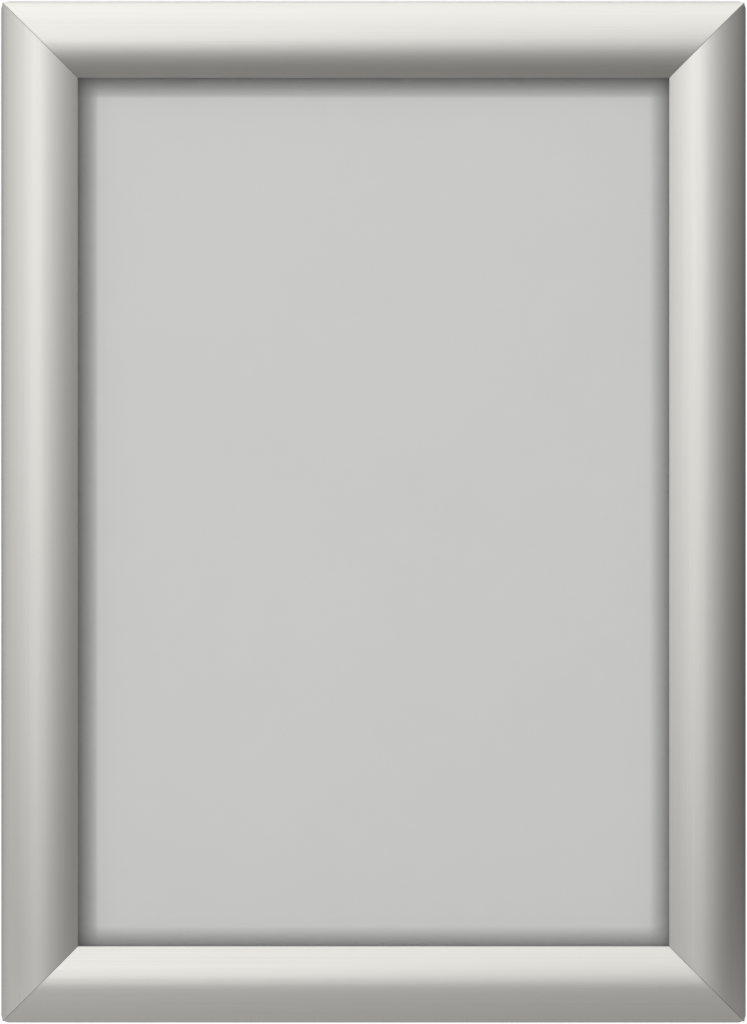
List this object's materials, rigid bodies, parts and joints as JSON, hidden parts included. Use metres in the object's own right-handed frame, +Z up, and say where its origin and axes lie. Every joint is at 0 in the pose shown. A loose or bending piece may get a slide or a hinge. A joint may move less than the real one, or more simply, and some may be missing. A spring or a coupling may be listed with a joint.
{
  "type": "snap poster frame",
  "caption": "Wall poster frame for an A4 sheet: mitred satin aluminium profiles that snap open on edge hinges over a clear cover sheet and a grey back panel.",
  "frame": {"origin": "centre of the whole frame's box, with the wall plane 6 mm behind it", "axes": "+X to the viewer's right, +Z up, and the front faces -Y"},
  "size_m": [0.234, 0.012, 0.321],
  "materials": {
    "flap_aluminium": "satin silver anodised, fine lines along the extrusion",
    "base_aluminium": "silver anodised extrusion",
    "spring_steel": "hardened strip",
    "key_steel": "zinc plated sheet",
    "panel_plastic": "light grey polystyrene sheet",
    "cover_plastic": "clear sheet with a low-glare surface"
  },
  "bodies": {
    "frame": {"base_top": "base_aluminium", "base_bottom": "base_aluminium", "base_left": "base_aluminium", "base_right": "base_aluminium", "corner_key_top_left": "key_steel", "corner_key_top_right": "key_steel", "corner_key_bottom_left": "key_steel", "corner_key_bottom_right": "key_steel", "back_panel": "panel_plastic", "cover_sheet": "cover_plastic", "spring_top_left": "spring_steel", "spring_top_right": "spring_steel", "spring_bottom_left": "spring_steel", "spring_bottom_right": "spring_steel", "spring_left_upper": "spring_steel", "spring_left_lower": "spring_steel", "spring_right_upper": "spring_steel", "spring_right_lower": "spring_steel"},
    "flap_top": {"flap_top": "flap_aluminium"},
    "flap_bottom": {"flap_bottom": "flap_aluminium"},
    "flap_left": {"flap_left": "flap_aluminium"},
    "flap_right": {"flap_right": "flap_aluminium"}
  },
  "joints": [
    {"name": "flap_top_hinge", "type": "hinge", "parent": "frame", "child": "flap_top", "pos_m": [0, 0.0018, 0.1579], "axis": [-1, 0, 0], "range_deg": [0, 90], "deforming": ["spring_top_left", "spring_top_right"]},
    {"name": "flap_bottom_hinge", "type": "hinge", "parent": "frame", "child": "flap_bottom", "pos_m": [0, 0.0018, -0.1579], "axis": [1, 0, 0], "range_deg": [0, 90], "deforming": ["spring_bottom_left", "spring_bottom_right"]},
    {"name": "flap_left_hinge", "type": "hinge", "parent": "frame", "child": "flap_left", "pos_m": [-0.1144, 0.0018, 0], "axis": [0, 0, -1], "range_deg": [0, 90], "deforming": ["spring_left_upper", "spring_left_lower"]},
    {"name": "flap_right_hinge", "type": "hinge", "parent": "frame", "child": "flap_right", "pos_m": [0.1144, 0.0018, 0], "axis": [0, 0, 1], "range_deg": [0, 90], "deforming": ["spring_right_upper", "spring_right_lower"]}
  ]
}
